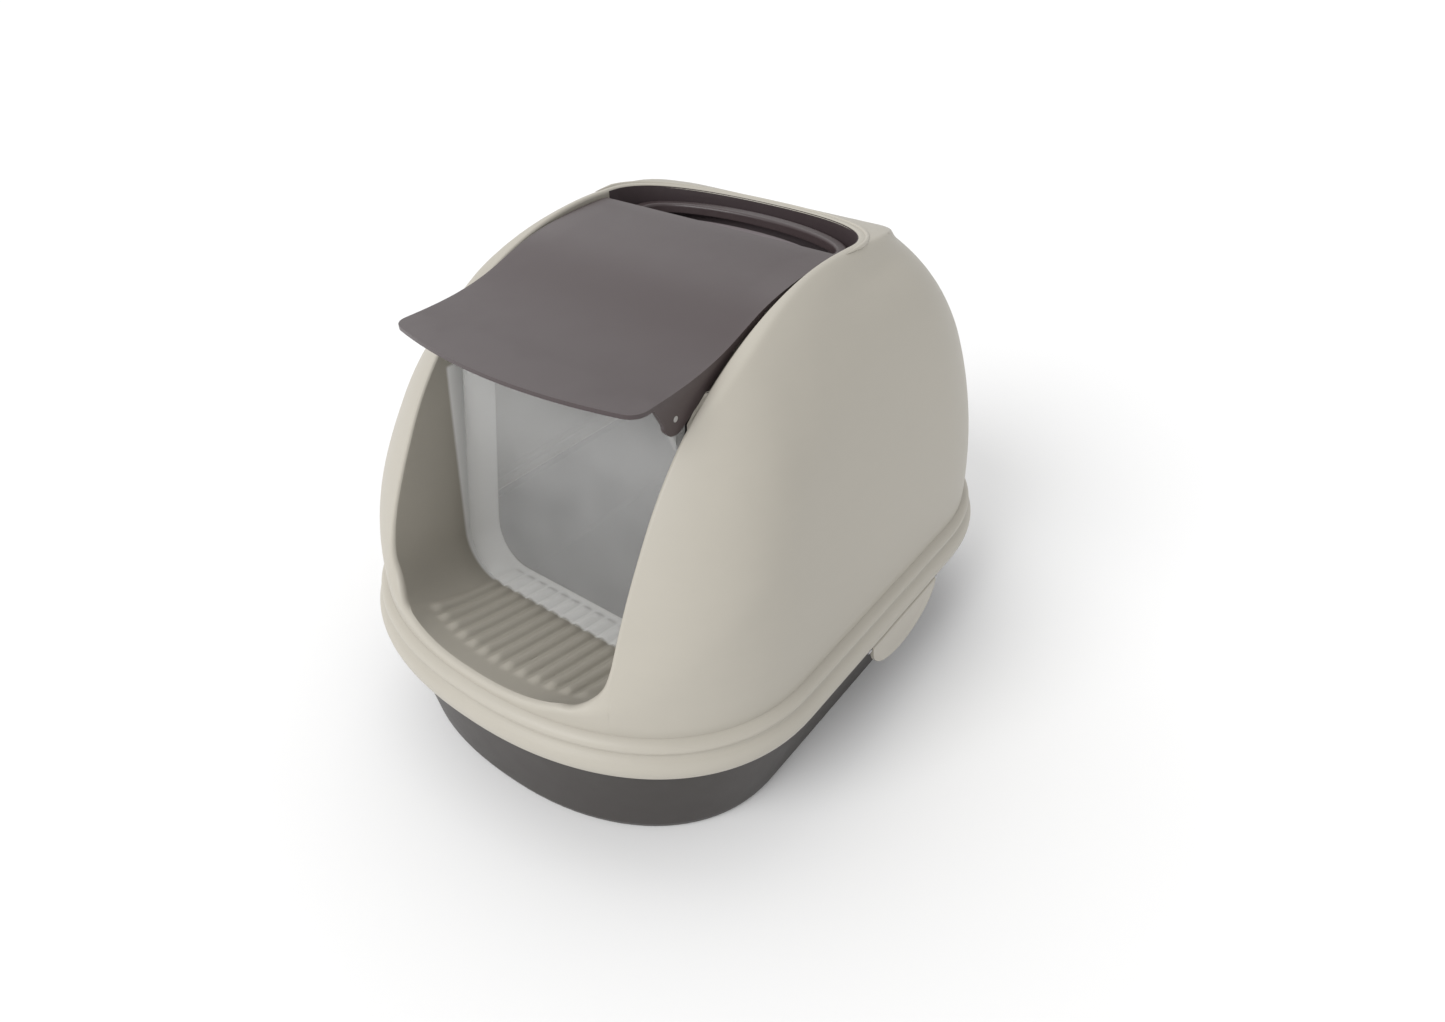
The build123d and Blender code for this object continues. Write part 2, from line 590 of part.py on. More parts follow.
def write_parts():
    """Build every piece and write it to its own file."""
    shell = hood_shell()
    pieces = {
        "base_tray": base_tray(),
        "hood_shell": shell,
        "entry_porch": entry_porch(shell),
        "visor": visor(),
        "flap": flap(),
        "filter_housing": filter_housing() - shell,
        "filter_grille": filter_grille(),
        "carry_handle": carry_handle(),
        "carbon_filter": carbon_filter(),
        "filter_retainer": filter_retainer(),
        "retainer_pin": rod_x(-RETAINER_LUG_X - 4.5, RETAINER_LUG_X + 4.5, RETAINER_PIVOT_Y, RETAINER_Z,
                              RETAINER_PIN_RADIUS),
    }
    for name, side in SIDES.items():
        pieces["latch_" + name] = latch(side)
        pieces["latch_pin_" + name] = latch_pin(side)
        pieces["visor_pin_" + name] = pins_on_axis(
            *VISOR_PIVOT, 99.5, OPENING_HALF_WIDTH - PORCH_GAP, VISOR_PIN_RADIUS, side)
        pieces["flap_pin_" + name] = pins_on_axis(
            *FLAP_PIVOT, FLAP_HALF_WIDTH - 5.0, VISOR_HALF_WIDTH, FLAP_PIN_RADIUS, side)
        pieces["handle_pin_" + name] = pins_on_axis(
            *HANDLE_PIVOT, HANDLE_HALF_WIDTH - HANDLE_WIDTH, OPENING_HALF_WIDTH - PORCH_GAP,
            HANDLE_PIN_RADIUS, side)
    os.makedirs("parts", exist_ok=True)
    for name, piece in pieces.items():
        export_step(piece, f"parts/{name}.step")


write_parts()
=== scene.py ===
"""Looks of the covered cat litter box: hood, entry porch, visor, swing flap, tray, handle and filter."""
import logging
from dataclasses import dataclass, field
from enum import Enum
from math import cos, pi, radians, sin, sqrt, tan
from typing import Any, Callable, Iterable, Sequence

import bmesh
import bpy
import numpy as np
from mathutils import Matrix, Vector

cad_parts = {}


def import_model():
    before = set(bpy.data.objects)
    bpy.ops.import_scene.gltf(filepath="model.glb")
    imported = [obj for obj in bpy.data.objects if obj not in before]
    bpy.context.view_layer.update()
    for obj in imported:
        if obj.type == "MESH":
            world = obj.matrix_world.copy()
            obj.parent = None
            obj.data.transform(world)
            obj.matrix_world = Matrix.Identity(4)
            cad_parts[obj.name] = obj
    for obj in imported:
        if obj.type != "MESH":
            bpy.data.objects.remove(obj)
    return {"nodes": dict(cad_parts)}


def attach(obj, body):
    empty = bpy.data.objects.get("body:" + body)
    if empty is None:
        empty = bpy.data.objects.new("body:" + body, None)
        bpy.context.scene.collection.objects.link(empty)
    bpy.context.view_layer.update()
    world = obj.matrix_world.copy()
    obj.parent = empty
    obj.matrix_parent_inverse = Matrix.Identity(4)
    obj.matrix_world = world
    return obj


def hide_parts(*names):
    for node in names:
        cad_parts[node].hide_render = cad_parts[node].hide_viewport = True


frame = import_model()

LOG = logging.getLogger("litter_box")
MM = 0.001
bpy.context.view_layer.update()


# ---- Shader tools ---------------------------------------------------------------------------------------

class Wire:
    """A shader socket that adds Math nodes when it is used in an expression."""

    def __init__(self, tree: bpy.types.NodeTree, socket: Any) -> None:
        """Keep the tree and the socket."""
        self.tree = tree
        self.socket = socket

    def _math(self, operation: str, first: Any, second: Any = None) -> "Wire":
        """Add a Math node.

        Args:
            operation: the node's operation.
            first: a wire or a number.
            second: a wire or a number, or None for a single input.

        Returns:
            The node's output as a wire.
        """
        node = self.tree.nodes.new("ShaderNodeMath")
        node.operation = operation
        for slot, value in enumerate((first, second)):
            if isinstance(value, Wire):
                self.tree.links.new(value.socket, node.inputs[slot])
            elif value is not None:
                node.inputs[slot].default_value = value
        return Wire(self.tree, node.outputs[0])

    def __add__(self, other: Any) -> "Wire":
        """Sum."""
        return self._math("ADD", self, other)

    __radd__ = __add__

    def __mul__(self, other: Any) -> "Wire":
        """Product."""
        return self._math("MULTIPLY", self, other)

    __rmul__ = __mul__

    def __sub__(self, other: Any) -> "Wire":
        """Difference."""
        return self._math("SUBTRACT", self, other)

    def __rsub__(self, other: Any) -> "Wire":
        """Difference from a number."""
        return self._math("SUBTRACT", other, self)

    def clamp(self) -> "Wire":
        """Keep between 0 and 1."""
        return self._math("MINIMUM", self._math("MAXIMUM", self, 0.0), 1.0)


class Shader:
    """One node material under construction."""

    def __init__(self, name: str) -> None:
        """Start an empty node material.

        Args:
            name: the material's name.
        """
        self.material = bpy.data.materials.new(name)
        self.material.use_nodes = True
        self.tree = self.material.node_tree
        self.tree.nodes.clear()
        self.output = self.tree.nodes.new("ShaderNodeOutputMaterial")

    def node(self, kind: str, settings: dict[str, Any] | None = None,
             inputs: dict[str | int, Any] | None = None, out: int | str = 0) -> Wire:
        """Add any node.

        Args:
            kind: the node's type.
            settings: attributes that are set first.
            inputs: values or wires of its sockets, by name or number.
            out: the output that is wanted.

        Returns:
            That output as a wire.
        """
        node = self.tree.nodes.new(kind)
        for key, value in (settings or {}).items():
            setattr(node, key, value)
        for key, value in (inputs or {}).items():
            if isinstance(value, Wire):
                self.tree.links.new(value.socket, node.inputs[key])
            else:
                node.inputs[key].default_value = value
        return Wire(self.tree, node.outputs[out])

    def coordinate(self, axis: str) -> Wire:
        """One of the object's own coordinates, in metres, by its letter."""
        place = self.node("ShaderNodeTexCoord", out="Object")
        return self.node("ShaderNodeSeparateXYZ", inputs={"Vector": place}, out=axis)

    def noise(self, scale: float, detail: float = 3.0, roughness: float = 0.5,
              stretch: Sequence[float] = (1, 1, 1)) -> Wire:
        """Noise over the object's own coordinates.

        Args:
            scale: noise scale, in cells per metre.
            detail: octaves.
            roughness: strength of the finer octaves.
            stretch: scale along each axis.

        Returns:
            The noise value.
        """
        place = self.node("ShaderNodeTexCoord", out="Object")
        if tuple(stretch) != (1, 1, 1):
            place = self.node("ShaderNodeMapping", inputs={"Vector": place, "Scale": tuple(stretch)})
        return self.node("ShaderNodeTexNoise", inputs={"Vector": place, "Scale": scale, "Detail": detail,
                                                       "Roughness": roughness})

    def mix(self, factor: Any, low: Any, high: Any) -> Wire:
        """Mix two colours by a factor.

        Args:
            factor: share of the second colour, as a wire or a number.
            low: the first colour, as a wire or as numbers.
            high: the second colour, as a wire or as numbers.

        Returns:
            The mixed colour.
        """
        node = self.tree.nodes.new("ShaderNodeMix")
        node.data_type = "RGBA"
        for socket, value in ((node.inputs[0], factor), (node.inputs[6], low), (node.inputs[7], high)):
            if isinstance(value, Wire):
                self.tree.links.new(value.socket, socket)
            elif isinstance(value, (int, float)):
                socket.default_value = value
            else:
                socket.default_value = (*value[:3], 1.0)
        return Wire(self.tree, node.outputs[2])

    def bump(self, height: Wire, distance: float, strength: float = 1.0) -> Wire:
        """Bump normal from a height.

        Args:
            height: the height as a share of the distance.
            distance: how far the surface seems to rise, in metres.
            strength: share of the effect that is used.

        Returns:
            The bent normal.
        """
        return self.node("ShaderNodeBump", inputs={"Height": height, "Distance": distance,
                                                   "Strength": strength})

    def finish(self, surface: Wire) -> bpy.types.Material:
        """Join the surface to the output and give back the material."""
        self.tree.links.new(surface.socket, self.output.inputs["Surface"])
        return self.material


def linear(red: int, green: int, blue: int) -> tuple[float, float, float]:
    """Linear colour of a screen colour given in 0 to 255."""
    def channel(value: int) -> float:
        """One channel, by the sRGB curve."""
        share = value / 255
        return share / 12.92 if share <= 0.04045 else ((share + 0.055) / 1.055) ** 2.4
    return channel(red), channel(green), channel(blue)


def tinted(colour: Sequence[float], gain: float, lift: float = 0.0) -> tuple[float, ...]:
    """Colour times a gain plus a lift, at most 1."""
    return tuple(min(1.0, value * gain + lift) for value in colour)


@dataclass(frozen=True)
class MouldedPlastic:
    """Injection-moulded plastic: fine spark-eroded grain, slight mottling, painted shade in hollows, painted
    highlight on sharp edges.
    """

    name: str
    slot: str
    colour: tuple[float, float, float]
    roughness: float
    grain: float = 0.00003
    grain_scale: float = 2600.0
    coat: float = 0.0
    coat_roughness: float = 0.25
    refraction: float = 1.48
    mottling: float = 0.06
    mottling_lift: float = 0.004
    # how sharply the surface must bend for the painted highlight on edges and the painted shade in hollows,
    # how fast that comes in, and how much shows
    painted_highlight_start: float = 0.505
    painted_highlight_gain: float = 14.0
    painted_highlight_share: float = 0.55
    painted_highlight_gloss: float = 0.06
    painted_shade_start: float = 0.492
    painted_shade_gain: float = 18.0
    painted_shade_share: float = 0.5

    def tone(self, shader: Shader, body: Wire) -> Wire:
        """Change the body colour from place to place; plain mouldings keep it."""
        return body

    def build(self) -> bpy.types.Material:
        """Make the material.

        Returns:
            The finished material.
        """
        shader = Shader(self.name)
        broad = shader.noise(7.0, 2.0)
        cloud = shader.noise(45.0, 4.0, 0.6)
        grain = shader.noise(self.grain_scale, 2.0, 0.7)
        flow = shader.noise(22.0, 2.0, 0.5, (1.0, 1.0, 6.0))
        pale = tinted(self.colour, 1 + self.mottling, self.mottling_lift)
        deep = tinted(self.colour, 1 - self.mottling)
        tint = (broad * 0.55 + cloud * 0.3 + flow * 0.15).clamp()
        body = self.tone(shader, shader.mix(tint, deep, pale))
        edge = shader.node("ShaderNodeNewGeometry", out="Pointiness")
        # painted highlight: sharp convex edges made lighter, and below also glossier
        edge_highlight = ((edge - self.painted_highlight_start) * self.painted_highlight_gain).clamp() * (0.4 + cloud * 0.6)
        colour = shader.mix(edge_highlight * self.painted_highlight_share, body, tinted(self.colour, 1.12, 0.012))
        # painted shade: hollows made darker
        hollow_shade = ((self.painted_shade_start - edge) * self.painted_shade_gain).clamp()
        colour = shader.mix(hollow_shade * self.painted_shade_share, colour, tinted(self.colour, 0.82, 0.006))
        rough = self.roughness + (cloud - 0.5) * 0.10 + (broad - 0.5) * 0.06 - edge_highlight * self.painted_highlight_gloss
        speckle = shader.noise(520.0, 1.0)
        normal = shader.bump(grain * 0.7 + speckle * 0.3, self.grain, 0.8)
        surface = shader.node("ShaderNodeBsdfPrincipled", inputs={
            "Base Color": colour, "Roughness": rough, "Normal": normal, "IOR": self.refraction,
            "Coat Weight": self.coat, "Coat Roughness": self.coat_roughness})
        return shader.finish(surface)


@dataclass(frozen=True)
class PorchPlastic(MouldedPlastic):
    """Porch moulding with painted light: pale behind the leaning plane of the flap. Places are in metres."""

    # painted light: the porch behind the flap is painted pale, as if lit through it
    painted_light_colour: tuple[float, float, float] = (0.88, 0.88, 0.86)
    flap_plane_y: float = -0.148
    flap_plane_lean: float = 0.0712
    flap_plane_z: float = 0.316
    painted_light_top: float = 0.285
    sharpness: float = 400.0

    def tone(self, shader: Shader, body: Wire) -> Wire:
        """Paint light: turn the body colour pale behind the flap.

        Args:
            shader: the material under construction.
            body: the body colour.

        Returns:
            The body colour in front of the flap and above the painted light's top, and the pale painted light
            colour elsewhere.
        """
        along, height = shader.coordinate("Y"), shader.coordinate("Z")
        behind = along - self.flap_plane_y + (self.flap_plane_z - height) * self.flap_plane_lean
        below = (self.painted_light_top - height) * self.sharpness
        # painted light: the pale colour behind the flap's plane and below its top
        return shader.mix((behind * self.sharpness).clamp() * below.clamp(), body, self.painted_light_colour)


@dataclass(frozen=True)
class FrostedSheet:
    """Frosted see-through plastic sheet: milky, faintly streaked, matt on both faces."""

    name: str
    slot: str
    colour: tuple[float, float, float]
    clear_share: float
    # painted light: the sheet turns milkier towards the top, so its top looks paler
    painted_top_light_start: float = 0.20
    painted_top_light_gain: float = 10.0
    painted_top_light_most: float = 0.10
    refraction: float = 1.45

    def build(self) -> bpy.types.Material:
        """Make the material.

        Returns:
            The finished material.
        """
        shader = Shader(self.name)
        cloud = shader.noise(30.0, 3.0, 0.5)
        streak = shader.noise(14.0, 3.0, 0.6, (4.0, 4.0, 0.6))
        grain = shader.noise(3200.0, 2.0, 0.6)
        colour = shader.mix(cloud, tinted(self.colour, 0.96), self.colour)
        rough = 0.34 + streak * 0.10
        normal = shader.bump(grain, 0.00002, 0.7)
        milk = shader.node("ShaderNodeBsdfPrincipled", inputs={
            "Base Color": colour, "Roughness": rough, "Normal": normal, "IOR": self.refraction})
        through = shader.node("ShaderNodeBsdfTransparent", inputs={"Color": (0.98, 0.98, 0.98, 1.0)})
        # painted light: more milk, so a paler sheet, higher up
        painted_top_light = ((shader.coordinate("Z") - self.painted_top_light_start) * self.painted_top_light_gain).clamp() * self.painted_top_light_most
        share = (1.0 - self.clear_share) + (cloud - 0.5) * 0.06 + painted_top_light
        return shader.finish(shader.node("ShaderNodeMixShader", inputs={0: share, 1: through, 2: milk}))


@dataclass(frozen=True)
class DrawnSteel:
    """Plain steel rod with fine draw lines along it."""

    name: str
    slot: str

    def build(self) -> bpy.types.Material:
        """Make the material.

        Returns:
            The finished material.
        """
        shader = Shader(self.name)
        lines = shader.noise(900.0, 2.0, 0.6, (0.05, 1.0, 1.0))
        spots = shader.noise(140.0, 3.0)
        colour = shader.mix(spots, (0.42, 0.42, 0.43), (0.60, 0.60, 0.61))
        normal = shader.bump(lines, 0.00002, 0.6)
        surface = shader.node("ShaderNodeBsdfPrincipled", inputs={
            "Base Color": colour, "Metallic": 1.0, "Roughness": 0.28 + lines * 0.2, "Normal": normal})
        return shader.finish(surface)


@dataclass(frozen=True)
class CarbonFelt:
    """Needled felt filled with carbon: black, fuzzy and dull."""

    name: str
    slot: str

    def build(self) -> bpy.types.Material:
        """Make the material.

        Returns:
            The finished material.
        """
        shader = Shader(self.name)
        fibre = shader.noise(900.0, 5.0, 0.75)
        tuft = shader.noise(160.0, 3.0, 0.6)
        colour = shader.mix(fibre * 0.6 + tuft * 0.4, (0.010, 0.010, 0.011), (0.045, 0.045, 0.048))
        normal = shader.bump(fibre * 0.5 + tuft * 0.5, 0.0006, 0.9)
        surface = shader.node("ShaderNodeBsdfPrincipled", inputs={
            "Base Color": colour, "Roughness": 0.95 - tuft * 0.1, "Normal": normal,
            "Sheen Weight": 0.25, "Sheen Roughness": 0.5})
        return shader.finish(surface)


class Finish(Enum):
    """The finishes of the litter box."""

    HOOD = MouldedPlastic("taupe_plastic", "hood_taupe", linear(176, 171, 160), 0.46)
    # painted shade: the porch is the hood's taupe plastic, made darker
    PORCH = PorchPlastic("porch_plastic_painted_shade_and_light", "hood_taupe", linear(170, 165, 154), 0.55)
    TRAY = MouldedPlastic("dark_tray_plastic", "tray_brown", linear(46, 41, 38), 0.44)
    VISOR = MouldedPlastic("purple_brown_plastic", "visor_brown", linear(62, 51, 52), 0.36, coat=0.08)
    WELL = MouldedPlastic("well_plastic", "well_brown", linear(62, 52, 54), 0.50)
    GRILLE = MouldedPlastic("grille_plastic", "grille_brown", linear(112, 104, 106), 0.48)
    FLAP = FrostedSheet("frosted_flap", "flap_frosted", (0.82, 0.82, 0.81), 0.84)
    STEEL = DrawnSteel("pin_steel", "pin_steel")
    FELT = CarbonFelt("carbon_felt", "filter_felt")


class Paintbox:
    """Builds each finish once and puts it on pieces."""

    def __init__(self) -> None:
        """Start with no materials built."""
        self.built: dict[Finish, bpy.types.Material] = {}

    def dress(self, piece: bpy.types.Object, finish: Finish) -> bpy.types.Object:
        """Put one finish on a whole piece.

        Args:
            piece: the object.
            finish: which finish.

        Returns:
            The same object.
        """
        if finish not in self.built:
            self.built[finish] = finish.value.build()
        piece.data.materials.clear()
        piece.data.materials.append(self.built[finish])
        return piece


PAINT = Paintbox()


# ---- Mesh tools ------------------------------------------------------------------------------------------

def mesh_object(name: str, points: np.ndarray, faces: Iterable[Sequence[int]]) -> bpy.types.Object:
    """Make an object from points in millimetres and faces.

    Args:
        name: the piece's name.
        points: one row per point.
        faces: corner numbers of each face.

    Returns:
        The new object, linked to the scene.
    """
    mesh = bpy.data.meshes.new(name)
    mesh.from_pydata((np.asarray(points, float) * MM).tolist(), [], [list(face) for face in faces])
    mesh.validate()
    piece = bpy.data.objects.new(name, mesh)
    bpy.context.scene.collection.objects.link(piece)
    return piece


class Patchwork:
    """Grids of points that are welded into one mesh."""

    def __init__(self) -> None:
        """Start empty."""
        self.points: list[np.ndarray] = []
        self.faces: list[tuple[int, ...]] = []
        self.count = 0

    def grid(self, points: np.ndarray, flip: bool = False, close: bool = False) -> None:
        """Add a grid of quads.

        Args:
            points: array of rows by columns by 3.
            flip: turn the faces over.
            close: join the last column to the first.
        """
        rows, columns = points.shape[:2]
        start = self.count
        self.points.append(points.reshape(-1, 3))
        self.count += rows * columns
        last = columns if close else columns - 1
        for row in range(rows - 1):
            for column in range(last):
                after = (column + 1) % columns
                quad = (start + row * columns + column, start + row * columns + after,
                        start + (row + 1) * columns + after, start + (row + 1) * columns + column)
                self.faces.append(quad[::-1] if flip else quad)

    def build(self, name: str, weld: float = 0.02) -> bpy.types.Object:
        """Weld the grids and make the object.

        Args:
            name: the piece's name.
            weld: points nearer than this, in millimetres, become one.

        Returns:
            The new object, with its faces turned outwards.
        """
        piece = mesh_object(name, np.concatenate(self.points), self.faces)
        work = bmesh.new()
        work.from_mesh(piece.data)
        bmesh.ops.remove_doubles(work, verts=work.verts, dist=weld * MM)
        bmesh.ops.dissolve_degenerate(work, edges=work.edges, dist=weld * MM * 0.1)
        bmesh.ops.recalc_face_normals(work, faces=work.faces)
        work.to_mesh(piece.data)
        work.free()
        return piece


def smooth(piece: bpy.types.Object, angle: float = 50.0) -> None:
    """Shade a piece smooth.

    Args:
        piece: the object.
        angle: edges that bend more than this, in degrees, stay sharp.
    """
    piece.data.shade_smooth()
    bpy.context.view_layer.objects.active = piece
    piece.select_set(True)
    bpy.ops.object.shade_smooth_by_angle(angle=radians(angle))
    piece.select_set(False)


def apply_modifiers(piece: bpy.types.Object) -> bpy.types.Object:
    """Bake a piece's modifiers into its mesh.

    Args:
        piece: the object.

    Returns:
        The same object.
    """
    graph = bpy.context.evaluated_depsgraph_get()
    baked = bpy.data.meshes.new_from_object(piece.evaluated_get(graph))
    piece.modifiers.clear()
    piece.data = baked
    return piece


def thicken(piece: bpy.types.Object, thickness: float, offset: float = -1.0) -> None:
    """Give an open sheet a wall and bake it.

    Args:
        piece: the sheet.
        thickness: the wall's thickness, in millimetres.
        offset: -1 to grow the wall against the faces' direction, 1 to grow it along it.
    """
    wall = piece.modifiers.new("wall", "SOLIDIFY")
    wall.thickness = thickness * MM
    wall.offset = offset
    wall.use_even_offset = False
    wall.use_rim = True
    apply_modifiers(piece)


def tube_grid(path: np.ndarray, radius: float, up: np.ndarray, sides: int = 12) -> np.ndarray:
    """Grid of a round tube along a path.

    Args:
        path: points along its middle, in millimetres.
        radius: its radius.
        up: a direction that is never along the path, one for all or one per point.
        sides: points round it.

    Returns:
        Rows along the path by columns round the tube.
    """
    along = np.gradient(path, axis=0)
    along /= np.linalg.norm(along, axis=1, keepdims=True)
    side = np.cross(along, np.broadcast_to(up, path.shape))
    side /= np.linalg.norm(side, axis=1, keepdims=True)
    other = np.cross(side, along)
    turn = np.linspace(0, 2 * pi, sides, endpoint=False)
    reach = np.broadcast_to(radius, len(path))[:, None, None]
    return (path[:, None, :] + reach * (side[:, None, :] * np.cos(turn)[None, :, None]
                                         + other[:, None, :] * np.sin(turn)[None, :, None]))


def bisect(inside: Callable[[np.ndarray], np.ndarray], low: np.ndarray, high: np.ndarray,
           rounds: int = 30) -> np.ndarray:
    """Find where a field changes sign.

    Args:
        inside: gives a positive number inside the shape.
        low: reaches that are inside.
        high: reaches that are outside.
        rounds: how often the gap is halved.

    Returns:
        The reach of the surface for each entry.
    """
    low, high = low.copy(), high.copy()
    for _ in range(rounds):
        middle = (low + high) / 2
        within = inside(middle) > 0
        low = np.where(within, middle, low)
        high = np.where(within, high, middle)
    return (low + high) / 2


def soft_least(first: np.ndarray, second: np.ndarray, width: Any) -> np.ndarray:
    """Smaller of two distances, rounded where they meet.

    Args:
        first: one distance.
        second: the other distance.
        width: difference of the two at which the rounding starts.

    Returns:
        The rounded smaller distance.
    """
    near = np.maximum(width - np.abs(first - second), 0) / width
    return np.minimum(first, second) - near ** 2 * width / 4


def ease(value: Any, start: float, end: float) -> Any:
    """Smooth step from 0 at the start to 1 at the end."""
    share = np.clip((value - start) / (end - start), 0, 1)
    return share * share * (3 - 2 * share)


# ---- Hood -------------------------------------------------------------------------------------------------

@dataclass
class HoodForm:
    """Shape of the hood: a dome on the rim's plan, cut by an arch that runs over the box. Millimetres."""

    half_width: float = 189.0
    front_start: float = 118.3
    front_cap: float = 137.7
    front_power: float = 2.23
    back_start: float = 100.8
    back_cap: float = 155.2
    back_power: float = 2.36
    foot: float = 118.0
    dome_rise: float = 330.0
    arch_y: float = 20.5
    arch_z: float = 114.0
    arch_radius: float = 253.8
    back_reach: float = 243.5
    back_arch_power: float = 2.5
    flare_rise: float = 38.0
    flare_reach: float = 41.0
    flare_power: float = 2.2
    dome_limit: float = 0.995
    dome_lean: float = 0.9
    near_reach: float = 0.5
    far_reach: float = 420.0
    crease: float = 1.4
    shoulder_gap: float = 22.0
    # widest rounding, where it starts and is reached, how much it loses higher up, and where
    shoulder_ahead: tuple[float, ...] = (92.0, 119.0, 252.0, 42.0, 290.0, 385.0)
    shoulder_behind: tuple[float, ...] = (80.0, 119.0, 290.0, 34.0, 345.0, 372.0)
    shoulder_turn: tuple[float, float] = (-40.0, 60.0)

    def reach_share(self, x: np.ndarray, y: np.ndarray, scale: Any = 1.0) -> np.ndarray:
        """How far out a point is in the foot's plan, 1 on its outline.

        Args:
            x: places across the box.
            y: places along the box.
            scale: scale of the plan about its middle.

        Returns:
            The share.
        """
        start = np.where(y < 0, self.front_start, self.back_start)
        cap = np.where(y < 0, self.front_cap, self.back_cap)
        power = np.where(y < 0, self.front_power, self.back_power)
        across = np.abs(x) / (scale * self.half_width)
        along = np.maximum(0.0, np.abs(y) / scale - start) / cap
        return (across ** power + along ** power) ** (1 / power)

    def depth_in_dome(self, x: np.ndarray, y: np.ndarray, z: np.ndarray) -> np.ndarray:
        """How deep a point lies in the dome.

        Args:
            x: places across the box.
            y: places along the box.
            z: heights.

        Returns:
            Distances to the dome's side, positive inside.
        """
        share = np.clip((z - self.foot) / self.dome_rise, 0.0, self.dome_limit)
        scale = np.sqrt(1 - share ** 2)
        slope = 1 + self.dome_lean * share ** 2
        return (1 - self.reach_share(x, y, scale)) * self.half_width * scale / slope

    def depth_in_arch(self, y: np.ndarray, z: np.ndarray) -> np.ndarray:
        """How deep a point lies under the arch.

        Args:
            y: places along the box.
            z: heights.

        Returns:
            Distances to the arch, positive inside.
        """
        ahead = self.arch_y - y
        rise = z - self.arch_z
        flare = self.flare_reach * np.clip(1 - rise / self.flare_rise, 0, 1) ** self.flare_power
        front = self.arch_radius + flare - np.hypot(ahead, rise)
        power = self.back_arch_power
        level = (np.maximum(-ahead, 0) / self.back_reach) ** power
        level = level + (np.maximum(rise, 0) / self.arch_radius) ** power
        back = self.arch_radius * (1 - np.maximum(level, 1e-9) ** (1 / power))
        return np.where(ahead > 0, front, back)

    def depth(self, x: np.ndarray, y: np.ndarray, z: np.ndarray) -> np.ndarray:
        """How deep a point lies in the hood, whose soft shoulder the arch cuts with a crease.

        Args:
            x: places across the box.
            y: places along the box.
            z: heights.

        Returns:
            Distances to the hood's surface, positive inside.
        """
        dome = self.depth_in_dome(x, y, z)
        arch = self.depth_in_arch(y, z)
        share = ease(z, self.shoulder_ahead[1], self.shoulder_ahead[2])
        widths = []
        for widest, start, level, loss, loss_start, loss_end in (self.shoulder_ahead, self.shoulder_behind):
            rise = self.crease + (widest - self.crease) * ease(z, start, level)
            widths.append(rise - loss * ease(z, loss_start, loss_end))
        width = widths[0] + (widths[1] - widths[0]) * ease(y, *self.shoulder_turn)
        return soft_least(soft_least(dome, arch + self.shoulder_gap * share, width), arch, self.crease)

    def along_ray(self, turn: np.ndarray, across: np.ndarray, tilt: np.ndarray, centre: float) -> np.ndarray:
        """Surface points along rays from a line across the box.

        Args:
            turn: angle from the front, over the top, to the back.
            across: where each ray starts on the line, as a distance from the middle.
            tilt: how far each ray leans outwards.
            centre: height of the line.

        Returns:
            Points of the surface.
        """
        turn, across, tilt = np.broadcast_arrays(turn, across, tilt)

        def place(reach: np.ndarray) -> tuple[np.ndarray, np.ndarray, np.ndarray]:
            """Point at a reach along the rays."""
            level = reach * np.cos(tilt)
            return (across + reach * np.sin(tilt), self.arch_y - level * np.cos(turn),
                    centre + level * np.sin(turn))
        near, far = np.full(turn.shape, self.near_reach), np.full(turn.shape, self.far_reach)
        return np.stack(place(bisect(lambda reach: self.depth(*place(reach)), near, far)), axis=-1)


